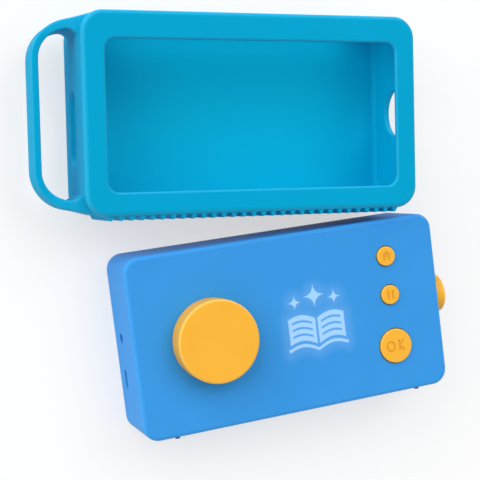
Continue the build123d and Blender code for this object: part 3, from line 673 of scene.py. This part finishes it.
# ---------------------------------------------------------------------------
# The loudspeaker: a pressed steel basket, a paper cone, a plated magnet, a foam
# gasket against the top wall and a black woven cloth behind the sound holes.
basket_finish = metal_finish("pressed_steel", (0.42, 0.43, 0.45), (0.36, 0.37, 0.39), Roughness=0.4)
dress(basket_finish, "speaker_basket")
magnet_finish = metal_finish("plated_ferrite", (0.10, 0.10, 0.11), (0.07, 0.07, 0.08), Roughness=0.5)
dress(magnet_finish, "speaker_magnet")
paper_finish = moulded_finish(
    "cone_paper",
    (0.022, 0.020, 0.018),
    (0.034, 0.031, 0.028),
    {"Patches": 350.0, "Grain": 1500.0, "Roughness": 0.85, "Relief": 0.05 * mm},
)
dress(paper_finish, "speaker_cone")
foam_finish = moulded_finish(
    "closed_cell_foam",
    (0.010, 0.010, 0.011),
    (0.020, 0.020, 0.021),
    {"Patches": 800.0, "Grain": 2200.0, "Roughness": 0.95, "Relief": 0.10 * mm},
)
dress(foam_finish, "speaker_gasket")

# The cloth's threads cross at right angles, each rounded from gap to gap.
thread_pitch = 0.35 * mm
thread_relief = 0.1 * mm
gap_colour = (0.004, 0.004, 0.005)
thread_colour = (0.030, 0.030, 0.034)
cloth_finish, cloth_tree, cloth_shader = new_finish("woven_cloth", Sheen_Weight=0.3, Roughness=0.9)
thread_ways = ways_of(cloth_tree, object_place(cloth_tree))
threads = [calculate(cloth_tree, "PINGPONG", thread_ways[way], thread_pitch) for way in ("X", "Z")]
thread_height = calculate(cloth_tree, "MULTIPLY", *threads)
thread_share = calculate(cloth_tree, "DIVIDE", thread_height, thread_pitch**2, clamp=True)
cloth_colour = blend_colours(cloth_tree, thread_share, gap_colour, thread_colour)
cloth_relief = add_node(cloth_tree, "Bump", {"Height": thread_share, "Distance": thread_relief})
put(cloth_tree, cloth_shader["Base Color"], cloth_colour)
put(cloth_tree, cloth_shader["Normal"], cloth_relief.outputs["Normal"])
dress(cloth_finish, "speaker_mesh")

# ---------------------------------------------------------------------------
# The battery: a flat lithium cell in a laminated foil pouch, a little creased,
# with an amber tape over the end where its lead comes out. It sticks to the rear
# cover on a pad of the same foam as the loudspeaker's gasket.
foil_colour = (0.70, 0.71, 0.73)
foil_stain_colour = (0.60, 0.61, 0.63)
foil_creases = Vector((250, 250, 250))
tape_colour = (0.62, 0.26, 0.03)
tape_width = 4.0 * mm
tape_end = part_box("battery_cell")[0].x + tape_width
cell_finish, cell_tree, cell_shader = new_finish("cell_foil")
cell_across = ways_of(cell_tree, object_place(cell_tree))["X"]
taped = calculate(cell_tree, "LESS_THAN", cell_across, tape_end)
foil = place_group(
    cell_tree,
    metal_group,
    Colour=foil_colour,
    Stain_Colour=foil_stain_colour,
    Streaks=foil_creases,
    Relief=0.15 * mm,
    Roughness=0.35,
)
lay_on(cell_tree, cell_shader, foil, blend_colours(cell_tree, taped, foil["Colour"], tape_colour))
put(cell_tree, cell_shader["Metallic"], calculate(cell_tree, "SUBTRACT", 1.0, taped))
dress(cell_finish, "battery_cell")
dress(foam_finish, "battery_foam")

# ---------------------------------------------------------------------------
# The leads of the battery and the loudspeaker: stranded copper wire in black PVC,
# each run to the main board.
lead_finish = moulded_finish(
    "lead_insulation",
    (0.010, 0.010, 0.010),
    (0.016, 0.016, 0.016),
    {"Patches": 500.0, "Grain": 1200.0, "Roughness": 0.38, "Relief": 0.02 * mm},
)
dress(lead_finish, "battery_lead", "speaker_lead")

# ---------------------------------------------------------------------------
# The sleeve: one piece of soft silicone, moulded round a core that is pulled out
# through the window. Its lip holds the player in, the long slot lets the sound
# out, and the strap on its left-hand end is part of the same moulding.
sleeve_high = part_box("silicone_sleeve")[1]
sleeve_size = Vector((162.0, 91.0, 41.8)) * mm
sleeve_turn = radians(-6)
sleeve_wall = 2.8 * mm
sleeve_corner = 10.3 * mm
sleeve_edge = 2.4 * mm
cavity_corner = 7.5 * mm
cavity_floor_radius = 2.5 * mm
window_size = (141.2 * mm, 67.8 * mm)
window_drop = 1.0 * mm
window_corner = 5.0 * mm
slot_size = (134.0 * mm, 24.0 * mm)
port_size = (34.0 * mm, 12.0 * mm)
port_place = (-6.15 * mm, 16.9 * mm)
pill_end_share = 0.49
knob_hole_radius = 11.1 * mm
knob_hole_place = (0.5 * mm, 24.8 * mm)
rim_rounding = 1.1 * mm
sharp_angle = radians(50)
smooth_angle = radians(40)
middle_height = sleeve_size.z / 2
tool_depth = 4 * sleeve_wall
port_depth = 3 * sleeve_wall
touch = 0.001 * mm


def select_edges(wanted):
    """Leave exactly the wanted edges of the mesh in edit mode selected."""
    bpy.ops.mesh.select_mode(type="EDGE")
    bpy.ops.mesh.select_all(action="DESELECT")
    mesh = bmesh.from_edit_mesh(bpy.context.object.data)
    for edge in mesh.edges:
        if wanted(edge.verts[0].co, edge.verts[1].co):
            edge.select_set(True)
    bmesh.update_edit_mesh(bpy.context.object.data)


def bevel_edges(wanted, radius, segments):
    """Round the wanted edges of the active piece."""
    bpy.ops.object.mode_set(mode="EDIT")
    select_edges(wanted)
    bpy.ops.mesh.bevel(offset=radius, segments=segments, affect="EDGES")
    bpy.ops.object.mode_set(mode="OBJECT")


def block(name, size, middle):
    """A cube stretched to a size, which becomes the active piece."""
    bpy.ops.object.select_all(action="DESELECT")
    bpy.ops.mesh.primitive_cube_add(size=1, location=middle)
    piece = bpy.context.object
    piece.name = name
    piece.scale = size
    bpy.ops.object.transform_apply(location=True, rotation=False, scale=True)
    return piece


def rounded_bar(name, size, middle, axis, radius, segments):
    """A block with its four edges along one axis rounded."""
    bar = block(name, size, middle)
    bevel_edges(lambda a, b: abs(a[axis] - b[axis]) > size[axis] / 2, radius, segments)
    return bar


def combine(piece, tool, operation):
    """Join one shape to a piece or cut it away, and drop the tool shape."""
    bpy.context.view_layer.objects.active = piece
    step = piece.modifiers.new(operation.lower(), "BOOLEAN")
    step.operation = operation
    step.solver = "EXACT"
    step.object = tool
    bpy.ops.object.modifier_apply(modifier=step.name)
    bpy.data.objects.remove(tool)


def round_edges(piece, radius):
    """Round every sharp edge of a piece."""
    bpy.context.view_layer.objects.active = piece
    rounding = piece.modifiers.new("rounding", "BEVEL")
    rounding.width = radius
    rounding.segments = 3
    rounding.limit_method = "ANGLE"
    rounding.angle_limit = sharp_angle
    bpy.ops.object.modifier_apply(modifier=rounding.name)


def on_rim(a, b):
    """Whether an edge runs round the sleeve's back or its front."""
    return abs(a.z - b.z) < touch and min(a.z, sleeve_size.z - a.z) < touch


sleeve = rounded_bar("sleeve", sleeve_size, (0, 0, middle_height), 2, sleeve_corner, segments=14)
bevel_edges(on_rim, sleeve_edge, segments=6)
cavity_size = sleeve_size - Vector((2, 2, 2)) * sleeve_wall
cavity = rounded_bar("cavity", cavity_size, (0, 0, middle_height), 2, cavity_corner, segments=10)
bevel_edges(lambda a, b: max(a.z, b.z) < middle_height, cavity_floor_radius, segments=5)
combine(sleeve, cavity, "DIFFERENCE")

# The window, the slot for the sound, the port for the sockets and the knob's hole.
window_tool = (*window_size, tool_depth)
window_middle = (0, -window_drop, sleeve_size.z)
window = rounded_bar("window", window_tool, window_middle, 2, window_corner, segments=8)
combine(sleeve, window, "DIFFERENCE")
slot_tool = (slot_size[0], tool_depth, slot_size[1])
slot_middle = (0, sleeve_size.y / 2, middle_height)
slot_end = slot_size[1] * pill_end_share
slot = rounded_bar("slot", slot_tool, slot_middle, 1, slot_end, segments=12)
combine(sleeve, slot, "DIFFERENCE")
port_tool = (port_depth, *port_size)
port_middle = (-sleeve_size.x / 2 + sleeve_wall / 2, *port_place)
port_end = port_size[1] * pill_end_share
port = rounded_bar("port", port_tool, port_middle, 0, port_end, segments=8)
combine(sleeve, port, "DIFFERENCE")
bpy.ops.object.select_all(action="DESELECT")
bpy.ops.mesh.primitive_cylinder_add(
    vertices=64,
    radius=knob_hole_radius,
    depth=tool_depth,
    location=(sleeve_size.x / 2, *knob_hole_place),
    rotation=(0, radians(90), 0),
)
combine(sleeve, bpy.context.object, "DIFFERENCE")
round_edges(sleeve, rim_rounding)

# The strap starts as a plate with two round corners, is cut open and drawn in
# at its far end. Towards the sleeve its arms swell in width, rise to the outer
# sides and end in a fillet on the left-hand wall.
strap_reach = 19.95 * mm
strap_thickness = 3.4 * mm
strap_width = 22.0 * mm
strap_waist = 0.72
strap_inset = 3.0 * mm
strap_corner = 18.0 * mm
strap_hole_corner = 13.0 * mm
strap_rounding = 1.0 * mm
root_thickness = 4.6 * mm
root_width = 29.0 * mm
root_rise = 2.85 * mm
root_reach = 16.0 * mm
ring_pitch = 1.0 * mm
fillet_reach = 5.0 * mm
fillet_growth = 2.6 * mm
stub_clearance = 0.5 * mm
strap_left = -sleeve_size.x / 2 - strap_reach
strap_right = -sleeve_size.x / 2 + sleeve_corner
strap_height = sleeve_size.y - 2 * strap_inset
strap_middle = (strap_right, 0, middle_height)
hole_left = strap_left + strap_thickness


def held(share):
    """A share kept between 0 and 1."""
    return min(1.0, max(0.0, share))


def eased(share):
    """A share that starts and ends gently."""
    return held(share) ** 2 * (3 - 2 * held(share))


plate_size = (2 * (strap_right - strap_left), strap_height, strap_width)
strap = rounded_bar("strap", plate_size, strap_middle, 2, strap_corner, segments=14)
hole_size = (2 * (strap_right - hole_left), strap_height - 2 * root_thickness, 2 * strap_width)
hole = rounded_bar("strap_hole", hole_size, strap_middle, 2, strap_hole_corner, segments=12)
combine(strap, hole, "DIFFERENCE")
round_edges(strap, strap_rounding)
bpy.ops.object.mode_set(mode="EDIT")
bpy.ops.mesh.select_all(action="SELECT")
bpy.ops.mesh.bisect(
    plane_co=(strap_right, 0, 0), plane_no=(1, 0, 0), clear_outer=True, use_fill=True
)
for ring in range(1, int((strap_right - hole_left) / ring_pitch)):
    bpy.ops.mesh.select_all(action="SELECT")
    bpy.ops.mesh.bisect(plane_co=(strap_right - ring * ring_pitch, 0, 0), plane_no=(1, 0, 0))
bpy.ops.object.mode_set(mode="OBJECT")
arm_middle = strap_height / 2 - root_thickness / 2
for vertex in strap.data.vertices:
    outward = -sleeve_size.x / 2 - vertex.co.x
    way_out = eased(outward / (strap_reach - strap_thickness))
    root_share = eased(1 - (strap_right - vertex.co.x) / root_reach)
    narrowing = 1 - (1 - strap_waist) * way_out
    swelling = 1 + root_share * (root_width / strap_width - 1)
    vertex.co.z = middle_height + (vertex.co.z - middle_height) * narrowing * swelling
    if abs(vertex.co.y) > arm_middle:
        rise = root_share * root_rise
    else:
        rise = -fillet_growth * held(1 - outward / fillet_reach) ** 3
    vertex.co.y += copysign(1.0, vertex.co.y) * rise

# The arms end inside the wall, short of the pocket.
stub_size = cavity_size + Vector((2, 2, 2)) * stub_clearance
stub_corner = cavity_corner + stub_clearance
stub = rounded_bar("stub", stub_size, (0, 0, middle_height), 2, stub_corner, segments=10)
combine(strap, stub, "DIFFERENCE")
combine(sleeve, strap, "UNION")

# One grip ridge is a bar drawn to a narrow crest, repeated along the bottom side.
ridge_pitch = 4.8 * mm
ridge_count = 30
ridge_height = 2.0 * mm
ridge_end_margin = 1.2 * mm
ridge_rounding = 0.3 * mm
ridge_foot_share = 0.97
crest_width_share = 0.16
crest_length_share = 0.96
ridge_length = sleeve_size.z - 2 * ridge_end_margin
ridge_size = (ridge_pitch * ridge_foot_share, 2 * ridge_height, ridge_length)
ridge_line = -sleeve_size.y / 2
ridge_start = ((1 - ridge_count) * ridge_pitch / 2, ridge_line, middle_height)


def on_crest(a, b):
    """Whether an edge runs along the crest of a ridge."""
    return max(a.y, b.y) < ridge_line and abs(a.z - b.z) > ridge_length / 2


ridges = block("ridges", ridge_size, ridge_start)
bpy.ops.object.mode_set(mode="EDIT")
select_edges(on_crest)
bpy.ops.transform.resize(
    value=(crest_width_share, 1, crest_length_share), center_override=ridge_start
)
bpy.ops.object.mode_set(mode="OBJECT")
bevel_edges(on_crest, ridge_rounding, segments=2)
repeat = ridges.modifiers.new("repeat", "ARRAY")
repeat.count = ridge_count
repeat.use_relative_offset = False
repeat.use_constant_offset = True
repeat.constant_offset_displace = (ridge_pitch, 0, 0)
bpy.ops.object.modifier_apply(modifier=repeat.name)
combine(sleeve, ridges, "UNION")

bpy.ops.object.select_all(action="DESELECT")
sleeve.select_set(True)
bpy.ops.object.shade_smooth_by_angle(angle=smooth_angle)
even = sleeve.modifiers.new("even_shading", "WEIGHTED_NORMAL")
even.keep_sharp = True
bpy.ops.object.modifier_apply(modifier=even.name)

# The turned sleeve stands where its round corners reach the right-hand and top
# sides of its room.
half_length = sleeve_size.x / 2 - sleeve_corner
half_height = sleeve_size.y / 2 - sleeve_corner
turn_share = abs(sin(sleeve_turn))
stay_share = cos(sleeve_turn)
reach_x = half_length * stay_share + half_height * turn_share + sleeve_corner
reach_y = half_length * turn_share + half_height * stay_share + sleeve_corner
sleeve_place = Vector((sleeve_high.x - reach_x, sleeve_high.y - reach_y, 0))
sleeve.data.transform(Matrix.Translation(sleeve_place) @ Matrix.Rotation(sleeve_turn, 4, "Z"))

# The silicone inside the pocket is painted paler: painted light that stands for light coming through
# the thin walls.
sleeve_colour = (0.000, 0.355, 0.610)
sleeve_patch_colour = (0.000, 0.370, 0.635)
# The paler colour on the sleeve's bevelled edges is a painted highlight.
sleeve_highlight_colour = (0.060, 0.500, 0.790)
sleeve_highlight_share = 0.45
pocket_painted_light_colour = (0.000, 0.460, 0.710)
pocket_margin = 0.3 * mm


def pocket_light_mask(tree):
    """A mask for the painted light in the pocket: 1 in the pocket and on its walls, and 0 on the outer
    side.
    """
    middle = sleeve_place + Vector((0, 0, middle_height))
    ends = {0: object_place(tree), 1: middle}
    centred = add_node(tree, "VectorMath", ends, operation="SUBTRACT").outputs[0]
    turn_back = {"Vector": centred, "Angle": -sleeve_turn}
    turned = add_node(tree, "VectorRotate", turn_back, rotation_type="Z_AXIS").outputs[0]
    ways = ways_of(tree, turned)
    across, up, out = [calculate(tree, "ABSOLUTE", ways[way]) for way in ("X", "Y", "Z")]
    steps = []
    for distance, width in ((across, cavity_size.x), (up, cavity_size.y)):
        past_corner = calculate(tree, "SUBTRACT", distance, width / 2 - cavity_corner)
        steps.append(calculate(tree, "MAXIMUM", past_corner, 0.0))
    from_corner = measure(tree, *steps)
    in_plan = calculate(tree, "LESS_THAN", from_corner, cavity_corner + pocket_margin)
    in_height = calculate(tree, "LESS_THAN", out, cavity_size.z / 2 + pocket_margin)
    return calculate(tree, "MULTIPLY", in_plan, in_height)


sleeve_finish = moulded_finish(
    "sleeve_silicone_soft",
    sleeve_colour,
    sleeve_patch_colour,
    {"Patches": 22.0, "Roughness": 0.56, "Relief": 0.02 * mm},
    edge=(sleeve_highlight_colour, sleeve_highlight_share, (0, 0, 1)),
    Specular_IOR_Level=0.04,
)
sleeve.data.materials.append(sleeve_finish)
sleeve_tree = sleeve_finish.node_tree
sleeve_shader = sleeve_tree.nodes["Principled BSDF"].inputs
outer_colour = sleeve_shader["Base Color"].links[0].from_socket
# Painted light: the pocket gets its paler colour here.
painted_pocket_light = pocket_light_mask(sleeve_tree)
sleeve_shown = blend_colours(sleeve_tree, painted_pocket_light, outer_colour, pocket_painted_light_colour)
put(sleeve_tree, sleeve_shader["Base Color"], sleeve_shown)
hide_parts("silicone_sleeve")
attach(sleeve, "casing")
